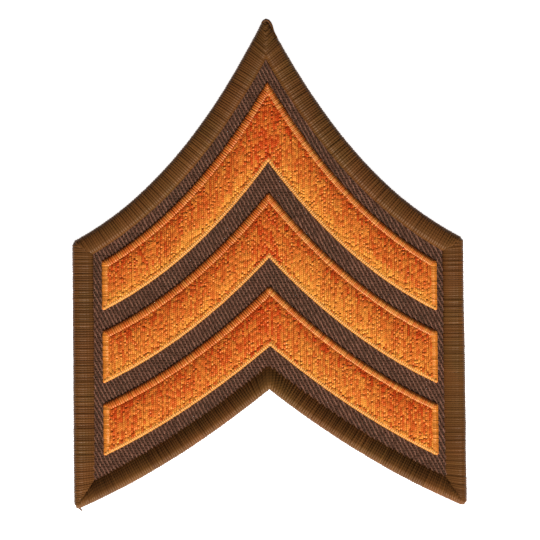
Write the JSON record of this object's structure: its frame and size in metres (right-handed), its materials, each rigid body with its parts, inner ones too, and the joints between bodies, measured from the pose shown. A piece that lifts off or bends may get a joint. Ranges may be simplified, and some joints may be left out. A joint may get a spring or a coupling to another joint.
{
  "type": "embroidered rank chevron patch",
  "caption": "Flat arrow-shaped cloth patch with a thick stitched edging and raised satin-stitched chevrons on a dark twill ground",
  "frame": {"origin": "Middle of the patch's outline, on the surface that its back lies on", "axes": "+X across the patch, +Y towards its point, +Z out of its embroidered face"},
  "size_m": [0.0762, 0.0952, 0.0026],
  "materials": {
    "ground_twill": "matte twill weave",
    "brown_thread": "satin overlock stitching",
    "orange_thread": "glossy satin stitching"
  },
  "bodies": {
    "root": {"twill_ground": "ground_twill", "border_edging": "brown_thread", "upper_chevron": "orange_thread", "upper_chevron_edging": "orange_thread", "middle_chevron": "orange_thread", "middle_chevron_edging": "orange_thread", "lower_chevron": "orange_thread", "lower_chevron_edging": "orange_thread"}
  },
  "joints": []
}
